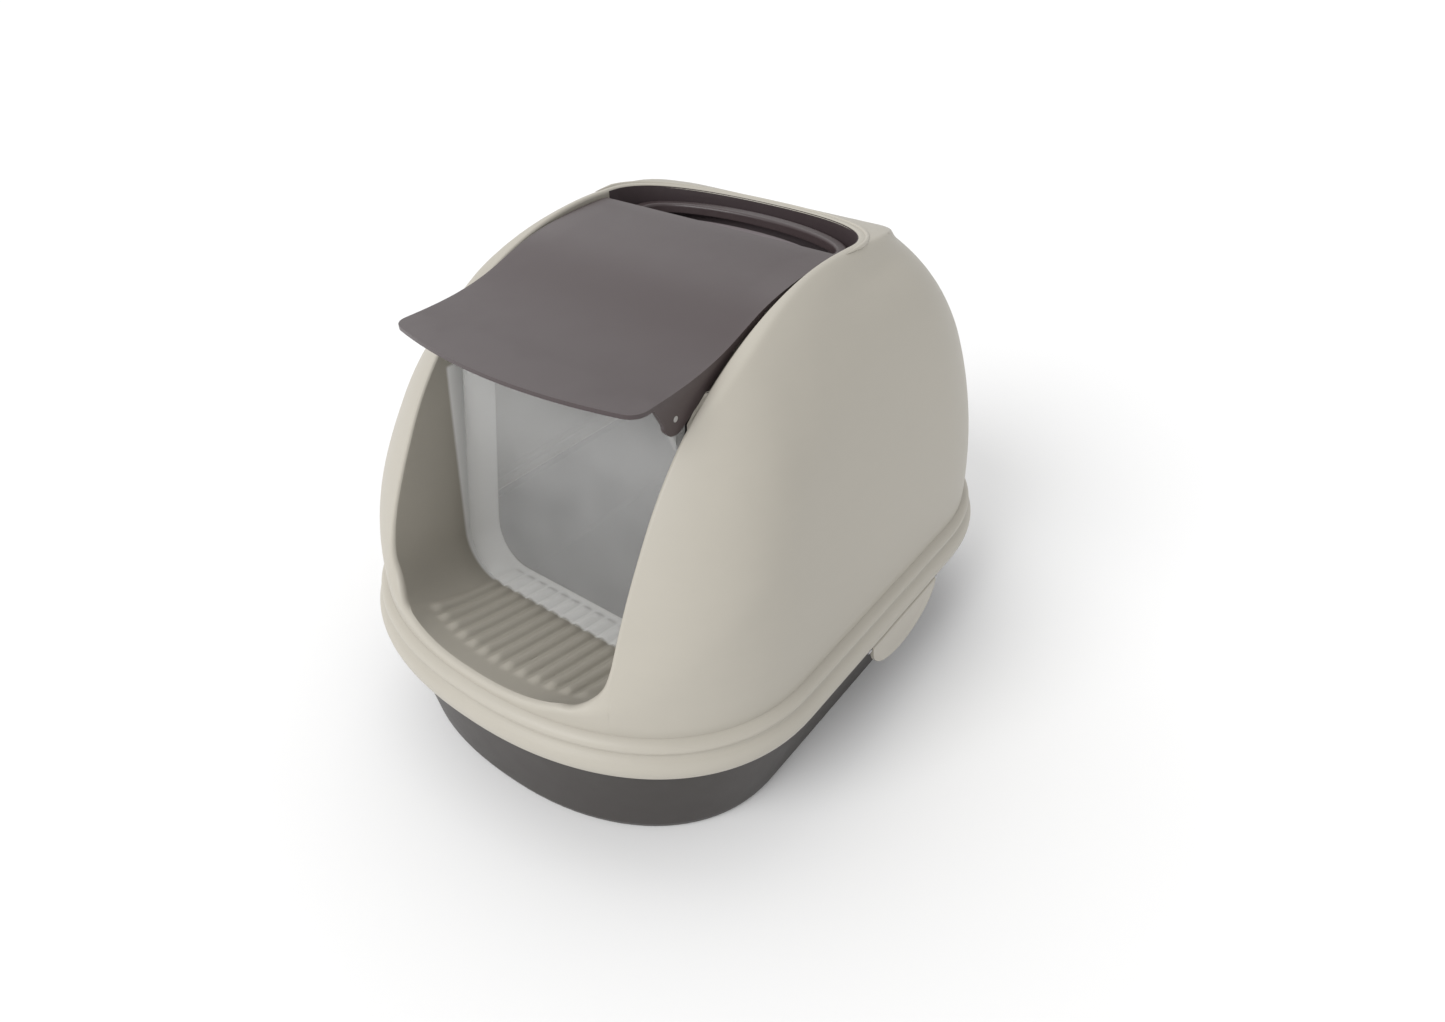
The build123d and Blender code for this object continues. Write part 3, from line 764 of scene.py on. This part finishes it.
@dataclass
class Hood:
    """The hood shell: cheeks and sides, the strip under the opening, the back, and the beaded band."""

    form: HoodForm = field(default_factory=HoodForm)
    opening_half: float = 112.3
    opening_corner: float = 38.0
    lip_height: float = 119.4
    lip_rise: float = 60.0
    lip_power: float = 3.0
    well_start: float = 42.0
    well_depth: float = 70.0
    band_top: float = 117.5
    wall: float = 2.2
    lip_rows: int = 9
    cheek_rows: int = 90
    back_rows: int = 46
    flat_points: int = 94
    corner_points: int = 19
    # columns of a cheek: how far they are close together, and the gaps between them
    cheek_width: float = 8.0
    cheek_points: int = 7
    near_gap: float = 1.5
    near_points: int = 3
    near_rise: float = 0.998
    side_gap: float = 4.0
    side_points: int = 52
    lip_roll: float = 4.6
    side_roll: float = 2.3
    bead_radius: float = 1.7
    bead_offset: float = 4.2
    bead_sink: float = 0.35
    bead_lead: int = 5
    bead_tip: float = 0.05
    bead_spacing: float = 0.3
    # height and inset of the band's wave, from the top down
    band_wave: tuple[tuple[float, float], ...] = (
        (117.5, 11.0), (116.6, 9.3), (115.2, 7.2), (113.6, 5.5), (112.0, 4.6), (110.4, 4.4), (109.0, 4.9),
        (107.6, 5.8), (106.2, 6.2), (104.8, 5.7), (103.2, 4.3), (101.4, 2.7), (99.4, 1.4), (97.2, 0.6),
        (95.0, 0.3), (93.0, 0.35), (91.2, 0.6), (89.6, 1.1), (88.4, 1.6), (87.4, 2.3), (87.0, 3.2))

    def _turns(self, x: np.ndarray, axis: int, values: np.ndarray, start: float, end: float) -> np.ndarray:
        """Angles at which the hood reaches given places.

        Args:
            x: distances from the middle.
            axis: 1 for a place along the box, 2 for a height.
            values: the places wanted.
            start: an angle before the place.
            end: an angle past the place.

        Returns:
            The angles.
        """
        def before(turn: np.ndarray) -> np.ndarray:
            """Positive while the surface is short of the place."""
            return values - self.form.along_ray(turn, x, np.zeros(len(x)), self.band_top)[..., axis]
        return bisect(before, np.full(len(x), start), np.full(len(x), end), rounds=24)

    def opening_height(self, x: float) -> float:
        """Height of the opening's lower edge at a distance from the middle."""
        share = min(1.0, abs(x) / self.opening_half)
        return self.lip_height + self.lip_rise * (1 - (1 - share ** self.lip_power) ** (1 / self.lip_power))

    def well_edge(self, x: float) -> float:
        """Place along the box of the well's rear edge at a distance from the middle."""
        return self.well_start + self.well_depth * sqrt(max(0.0, 1 - (x / self.opening_half) ** 2))

    def columns(self) -> np.ndarray:
        """Places of the columns across half the opening, close enough for the ribs and the corner.

        Returns:
            Distances from the middle.
        """
        flat = self.opening_half - self.opening_corner
        turn = np.linspace(0, pi / 2, self.corner_points)
        return np.concatenate([np.linspace(0, flat, self.flat_points)[:-1],
                               flat + self.opening_corner * np.sin(turn)])

    def _fan(self, turns: np.ndarray) -> np.ndarray:
        """Cheek and side of one half.

        Args:
            turns: angle of each row, from the front, over the top, to the back.

        Returns:
            Rows of turn by columns from the opening to the side's foot.
        """
        crease = self.opening_half + self.cheek_width
        flat = np.linspace(self.opening_half, crease - self.near_gap, self.cheek_points)
        near = crease + self.near_gap * np.arange(self.near_points)
        share = np.linspace(0, 1, self.side_points)[1:]
        wall = crease + self.side_gap + (self.form.half_width - crease - self.side_gap) * share
        target_x = np.concatenate([flat, near, wall])
        rows = []
        for turn in turns:
            edge = self.form.along_ray(np.array([turn]), np.array([self.opening_half]), np.array([0.0]),
                                       self.band_top)[0]
            rise = np.hypot(edge[1] - self.form.arch_y, edge[2] - self.band_top)
            target_r = np.concatenate([np.full(len(flat), rise), np.full(len(near), rise * self.near_rise),
                                       rise * (1 - share)])
            tilt = np.arctan2(target_x - self.opening_half, np.maximum(target_r, 1e-6))
            tilt[0] = 0.0
            tilt[-1] = pi / 2
            rows.append(self.form.along_ray(np.full(tilt.shape, turn), np.full(tilt.shape, self.opening_half),
                                            tilt, self.band_top))
        return np.array(rows)

    def _strip(self, x_places: np.ndarray, starts: np.ndarray, ends: np.ndarray, rows: int) -> np.ndarray:
        """Part of the hood between two angles that change across it.

        Args:
            x_places: distances of the columns from the middle.
            starts: first angle of each column.
            ends: last angle of each column.
            rows: points along each column.

        Returns:
            Rows of angle by columns across the hood.
        """
        share = np.linspace(0, 1, rows)[:, None]
        turns = starts[None, :] * (1 - share) + ends[None, :] * share
        return self.form.along_ray(turns, np.broadcast_to(x_places, turns.shape), np.zeros(turns.shape),
                                   self.band_top)

    def _band(self, edge: np.ndarray) -> np.ndarray:
        """The beaded band below the dome's foot.

        Args:
            edge: a row of points of the foot.

        Returns:
            Rows from the foot down to the band's lower edge.
        """
        step = 0.5
        x, y = edge[:, 0], edge[:, 1]
        slope_x = self.form.reach_share(x + step, y) - self.form.reach_share(x - step, y)
        slope_y = self.form.reach_share(x, y + step) - self.form.reach_share(x, y - step)
        outward = np.stack([slope_x, slope_y], axis=-1)
        outward /= np.linalg.norm(outward, axis=1, keepdims=True)
        rows = []
        for height, inset in self.band_wave:
            plan = edge[:, :2] + outward * (self.band_wave[0][1] - inset)
            rows.append(np.column_stack([plan, np.full(len(edge), height)]))
        return np.array(rows)

    def edge(self) -> "OpeningEdge":
        """Find the right half of the edge.

        Returns:
            The edge from the lip's middle up the cheek, and round the back of the well to its middle.
        """
        columns = self.columns()
        low = self._turns(columns, 2, np.array([self.opening_height(x) for x in columns]), 0.0, pi / 2)
        lip = self.form.along_ray(low, columns, np.zeros(len(columns)), self.band_top)
        well_x = columns[::-1]
        well = self._turns(well_x, 1, np.array([self.well_edge(x) for x in well_x]), pi / 4, pi)
        turns = np.linspace(low[-1], well[0], self.cheek_rows)[1:]
        side = self.form.along_ray(turns, np.full(len(turns), self.opening_half), np.zeros(len(turns)),
                                   self.band_top)
        back = self.form.along_ray(well[1:], well_x[1:], np.zeros(len(well_x) - 1), self.band_top)
        return OpeningEdge(self.form, np.concatenate([lip, side, back]), len(lip), len(side), low, well[::-1])

    def build(self) -> bpy.types.Object:
        """Make the shell with its rolled opening edge and the bead round the well.

        Returns:
            The dressed shell.
        """
        work = Patchwork()
        columns = self.columns()
        edge = self.edge()
        low, well = edge.low, edge.well
        turns = np.concatenate([np.linspace(0, low[-1], self.lip_rows),
                                np.linspace(low[-1], well[-1], self.cheek_rows)[1:],
                                np.linspace(well[-1], pi, self.back_rows)[1:]])
        fan = self._fan(turns)
        lip = self._strip(columns, np.zeros(len(columns)), low, self.lip_rows)
        back = self._strip(columns, well, np.full(len(columns), pi), self.back_rows)
        front_edge = np.concatenate([lip[0][:-1], fan[0]])
        back_edge = np.concatenate([back[-1][:-1], fan[-1]])
        roll = edge.roll(self.lip_roll, self.side_roll)
        for side in (1.0, -1.0):
            mirror = np.array([side, 1.0, 1.0])
            for patch in (fan, lip, back, self._band(front_edge), self._band(back_edge), roll):
                work.grid(patch * mirror, flip=side < 0)
        shell = work.build("hood_shell_moulding")
        thicken(shell, self.wall)
        self._add_bead(shell, edge)
        smooth(shell)
        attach(shell, "hood")
        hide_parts("hood_shell")
        return PAINT.dress(shell, Finish.HOOD)

    def _add_bead(self, shell: bpy.types.Object, edge: "OpeningEdge") -> None:
        """Join the bead that runs round the back of the well.

        Args:
            shell: the shell that gets the bead.
            edge: right half of the opening's edge.
        """
        start = edge.lip_count + edge.side_count - self.bead_lead
        outward = edge.normals()[start:]
        away = -edge.inward()[start:]
        half = edge.path[start:] + away * self.bead_offset - outward * self.bead_radius * self.bead_sink
        full = np.concatenate([half, (half * [-1, 1, 1])[::-1][1:]])
        up = np.concatenate([outward, (outward * [-1, 1, 1])[::-1][1:]])
        keep = np.concatenate([[True], np.linalg.norm(np.diff(full, axis=0), axis=1) > self.bead_spacing])
        place = np.arange(keep.sum())
        taper = np.minimum(1, np.minimum(place, place[::-1]) / self.bead_lead + self.bead_tip)
        work = Patchwork()
        work.grid(tube_grid(full[keep], self.bead_radius * taper, up[keep]), close=True)
        join(shell, [work.build("hood_well_bead")])


@dataclass
class OpeningEdge:
    """Right half of the edge round the opening and the well."""

    form: HoodForm
    path: np.ndarray
    lip_count: int
    side_count: int
    low: np.ndarray
    well: np.ndarray
    # heights between which the rolled edge thins from the lip's radius to the side's
    roll_fade: tuple[float, float] = (122.0, 200.0)

    def normals(self) -> np.ndarray:
        """Find the outward directions of the hood's surface along the edge.

        Returns:
            One direction of length 1 for each point of the edge.
        """
        step = 0.4
        moves = [np.array(axis, float) * step for axis in ((1, 0, 0), (0, 1, 0), (0, 0, 1))]
        slopes = [self.form.depth(*(self.path + move).T) - self.form.depth(*(self.path - move).T)
                  for move in moves]
        slope = -np.stack(slopes, axis=-1)
        slope[0, 0] = 0.0
        slope[-1, 0] = 0.0
        return slope / np.linalg.norm(slope, axis=1, keepdims=True)

    def inward(self) -> np.ndarray:
        """Find the directions in the surface, square to the edge, that point into the opening.

        Returns:
            One direction of length 1 for each point of the edge.
        """
        along = np.gradient(self.path, axis=0)
        along[0] = along[-1] = 0.0
        along[0, 0], along[-1, 0] = 1.0, -1.0
        along /= np.maximum(np.linalg.norm(along, axis=1, keepdims=True), 1e-9)
        square = np.cross(self.normals(), along)
        return square / np.linalg.norm(square, axis=1, keepdims=True)

    def radii(self, lip: float, side: float) -> np.ndarray:
        """Radius of the rolled edge, larger along the lip."""
        return side + (lip - side) * (1 - ease(self.path[:, 2], *self.roll_fade))

    def roll(self, lip: float, side: float, steps: int = 8) -> np.ndarray:
        """Quarter round that turns the hood's surface into the opening.

        Args:
            lip: radius along the lip.
            side: radius along the cheeks and the well.
            steps: rows of the quarter round.

        Returns:
            Rows from the surface to the inside of the opening.
        """
        radius = self.radii(lip, side)[:, None]
        normal, inward = self.normals(), self.inward()
        rows = []
        for turn in np.linspace(0, pi / 2, steps):
            rows.append(self.path - radius * normal * (1 - cos(turn)) + radius * inward * sin(turn))
        return np.array(rows)


@dataclass
class Porch:
    """Ribbed step with side walls, and rails under the visor's edges. Millimetres and degrees."""

    hood: Hood
    floor_slope: float = 9.5
    end_foot: tuple[float, float] = (-130.0, 99.5)
    end_lean: float = 8.4
    corner: float = 35.0
    wall_x: float = 110.0
    wall: float = 2.4
    rail_depth: float = 20.0
    rail_start: float = 315.0
    rail_end: float = 31.0
    wall_rows: int = 40
    rows: int = 72
    # how soon the floor reaches its full width behind the lip, and how fast the lip's height dies out
    spread_gain: float = 2.2
    lip_flow: float = 4.2
    rib_pitch: float = 12.7
    rib_half: float = 4.9
    rib_rise: float = 2.7
    rib_count: int = 13
    rib_front: float = -236.0
    rib_back: float = -138.0
    rib_curve: float = 0.28
    rib_roundness: float = 0.8
    # where the ribs' ends rise and fall, measured from the first and last place of full height
    rib_front_fade: tuple[float, float] = (-2.0, 9.0)
    rib_back_fade: tuple[float, float] = (-3.0, 1.0)

    def _inner_edge(self, edge: OpeningEdge) -> np.ndarray:
        """Find where the floor, the walls and the rails end inside.

        Args:
            edge: right half of the opening's edge.

        Returns:
            One point for each point of the lip and the cheek.
        """
        lean = tan(radians(self.end_lean))
        foot_y, foot_z = self.end_foot
        corner_start = self.wall_x - self.corner
        flat = self.hood.opening_half - self.hood.opening_corner
        points = []
        for x in self.hood.columns():
            turn = np.arcsin(np.clip((x - flat) / self.hood.opening_corner, 0, 1))
            place = x / flat * corner_start if x <= flat else corner_start + self.corner * sin(turn)
            height = foot_z + self.corner * (1 - cos(turn))
            points.append((place, foot_y + (height - foot_z) * lean, height))
        form = self.hood.form
        radius = form.arch_radius - self.rail_depth
        straight = [(self.wall_x, foot_y + (z - foot_z) * lean, z)
                    for z in np.linspace(points[-1][2], self.rail_start, self.wall_rows)[1:]]
        start = np.arctan2(straight[-1][2] - form.arch_z, form.arch_y - straight[-1][1])
        finish = pi / 2 + (self.rail_end - form.arch_y) / radius
        arc = [(self.wall_x, form.arch_y - radius * cos(turn), form.arch_z + radius * sin(turn))
               for turn in np.linspace(start, finish, edge.side_count - self.wall_rows + 2)[1:]]
        return np.array(points + straight + arc)

    def _ribs(self, x: np.ndarray, y: np.ndarray) -> np.ndarray:
        """Find the height of the rounded ribs above the floor.

        Args:
            x: places across the box.
            y: places along the box.

        Returns:
            The heights, 0 between the ribs.
        """
        place = np.round(x / self.rib_pitch)
        off = np.abs(x - place * self.rib_pitch) / self.rib_half
        front = self.rib_front + self.rib_curve * place ** 2
        rise_start, rise_end = self.rib_front_fade
        fall_start, fall_end = self.rib_back_fade
        along = ease(y, front + rise_start, front + rise_end)
        along = along * (1 - ease(y, self.rib_back + fall_start, self.rib_back + fall_end))
        inside = np.abs(place) <= (self.rib_count - 1) / 2
        round_top = np.clip(1 - off ** 2, 0, 1) ** self.rib_roundness
        return np.where(inside, self.rib_rise * round_top * along, 0.0)

    def build(self) -> bpy.types.Object:
        """Make the porch from the rolled edge inwards.

        Returns:
            The dressed porch.
        """
        edge = self.hood.edge()
        count = edge.lip_count + edge.side_count
        start = edge.roll(self.hood.lip_roll, self.hood.side_roll)[-1][:count]
        target = self._inner_edge(edge)[:count]
        slope = tan(radians(self.floor_slope))
        residual = start[:, 2] - (target[:, 2] + (target[:, 1] - start[:, 1]) * slope)
        low = np.arange(count) < edge.lip_count
        rows = []
        for share in np.linspace(0, 1, self.rows):
            y = start[:, 1] + (target[:, 1] - start[:, 1]) * share
            x = start[:, 0] + (target[:, 0] - start[:, 0]) * min(1.0, share * self.spread_gain)
            base = target[:, 2] + (target[:, 1] - y) * slope
            z = base + residual * (1 - share) ** self.lip_flow
            rows.append(np.column_stack([x, y, z + np.where(low, self._ribs(x, y), 0.0)]))
        sheet = np.array(rows)
        work = Patchwork()
        work.grid(sheet)
        work.grid(sheet * [-1, 1, 1], flip=True)
        piece = work.build("entry_porch_moulding")
        floor_middle = Vector((0, -0.18, 0.11))
        middle = min(piece.data.polygons, key=lambda face: (face.center - floor_middle).length)
        thicken(piece, self.wall, offset=-1.0 if middle.normal.z > 0 else 1.0)
        smooth(piece)
        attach(piece, "hood")
        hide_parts("entry_porch")
        return PAINT.dress(piece, Finish.PORCH)


def join(target: bpy.types.Object, others: Sequence[bpy.types.Object]) -> None:
    """Join pieces into one object.

    Args:
        target: the object that takes the others in.
        others: the objects that are taken in.
    """
    bpy.ops.object.select_all(action="DESELECT")
    for other in (*others, target):
        other.select_set(True)
    bpy.context.view_layer.objects.active = target
    bpy.ops.object.join()
    target.select_set(False)


# ---- Other pieces ------------------------------------------------------------------------------------------

@dataclass
class DressedNode:
    """A CAD node that keeps its shape and gets a finish."""

    node: str
    finish: Finish

    def build(self) -> bpy.types.Object:
        """Dress the node.

        Returns:
            The node's object.
        """
        piece = frame["nodes"][self.node]
        return PAINT.dress(piece, self.finish)


# ---- Studio ------------------------------------------------------------------------------------------------

@dataclass
class Studio:
    """Camera, pale floor and soft lights."""

    place: tuple[float, float, float] = (0.4169, -0.5241, 0.5949)
    azimuth: float = 36.36
    elevation: float = 35.56
    roll: float = 0.22
    lens: float = 23.254
    sensor: float = 36.0
    sight: float = 50.0
    floor_reach: float = 30.0
    floor_drop: float = 0.0004
    air_strength: float = 0.70

    def camera(self) -> None:
        """Put the camera at the viewing angle."""
        turn, rise, tip = radians(self.azimuth), radians(self.elevation), radians(self.roll)
        back = Vector((sin(turn) * cos(rise), -cos(turn) * cos(rise), sin(rise)))
        right = Vector((cos(turn), sin(turn), 0.0))
        up = back.cross(right)
        level_right = right * cos(tip) + up * sin(tip)
        level_up = up * cos(tip) - right * sin(tip)
        data = bpy.data.cameras.new("studio_camera")
        data.lens = self.lens
        data.sensor_width = self.sensor
        data.clip_end = self.sight
        camera = bpy.data.objects.new("studio_camera", data)
        bpy.context.scene.collection.objects.link(camera)
        basis = Matrix((level_right, level_up, back)).transposed().to_4x4()
        basis.translation = Vector(self.place)
        camera.matrix_world = basis
        bpy.context.scene.camera = camera

    def floor(self) -> None:
        """Lay a pale floor."""
        reach = self.floor_reach
        mesh = bpy.data.meshes.new("floor")
        corners = [(-reach, -reach, 0), (reach, -reach, 0), (reach, reach, 0), (-reach, reach, 0)]
        mesh.from_pydata(corners, [], [(0, 1, 2, 3)])
        piece = bpy.data.objects.new("floor", mesh)
        piece.location.z = -self.floor_drop
        bpy.context.scene.collection.objects.link(piece)
        shader = Shader("floor_paint")
        cloud = shader.noise(1.5, 2.0)
        tone = shader.mix(cloud, (0.90, 0.90, 0.90), (0.93, 0.93, 0.93))
        surface = shader.node("ShaderNodeBsdfPrincipled", inputs={"Base Color": tone, "Roughness": 0.9,
                                                                  "Specular IOR Level": 0.1})
        piece.data.materials.append(shader.finish(surface))

    def sun(self, name: str, source: Sequence[float], strength: float, spread: float) -> None:
        """Add one broad soft light from far away.

        Args:
            name: its name.
            source: direction that it comes from.
            strength: its strength in watts per square metre.
            spread: how wide it looks, in degrees.
        """
        data = bpy.data.lights.new(name, "SUN")
        data.energy = strength
        data.angle = radians(spread)
        lamp = bpy.data.objects.new(name, data)
        lamp.rotation_euler = Vector(source).to_track_quat("Z", "Y").to_euler()
        bpy.context.scene.collection.objects.link(lamp)

    def build(self) -> None:
        """Set up the studio."""
        self.camera()
        self.floor()
        world = bpy.data.worlds.new("studio_air")
        bpy.context.scene.world = world
        world.use_nodes = True
        air = world.node_tree.nodes["Background"]
        air.inputs["Color"].default_value = (1.0, 1.0, 1.0, 1.0)
        air.inputs["Strength"].default_value = self.air_strength
        self.sun("key_sun", (-0.20, -1.0, 0.72), 1.75, 38.0)
        self.sun("top_sun", (-0.7, 0.35, 1.0), 0.55, 60.0)
        bpy.context.scene.view_settings.view_transform = "Standard"


def main() -> None:
    """Build the studio, then every piece in order."""
    logging.basicConfig(level=logging.INFO, format="%(message)s")
    Studio().build()
    hood = Hood()
    builders: list[Any] = [
        hood,
        Porch(hood),
        DressedNode("base_tray", Finish.TRAY),
        DressedNode("latch_left", Finish.HOOD),
        DressedNode("latch_right", Finish.HOOD),
        DressedNode("visor", Finish.VISOR),
        DressedNode("carry_handle", Finish.VISOR),
        DressedNode("flap", Finish.FLAP),
        DressedNode("filter_housing", Finish.WELL),
        DressedNode("filter_retainer", Finish.WELL),
        DressedNode("filter_grille", Finish.GRILLE),
        DressedNode("carbon_filter", Finish.FELT),
    ]
    for name in sorted(frame["nodes"]):
        if "_pin" in name:
            builders.append(DressedNode(name, Finish.STEEL))
    for builder in builders:
        piece = builder.build()
        LOG.info("built %s, %d faces", piece.name, len(piece.data.polygons))


if __name__ == "__main__":
    main()
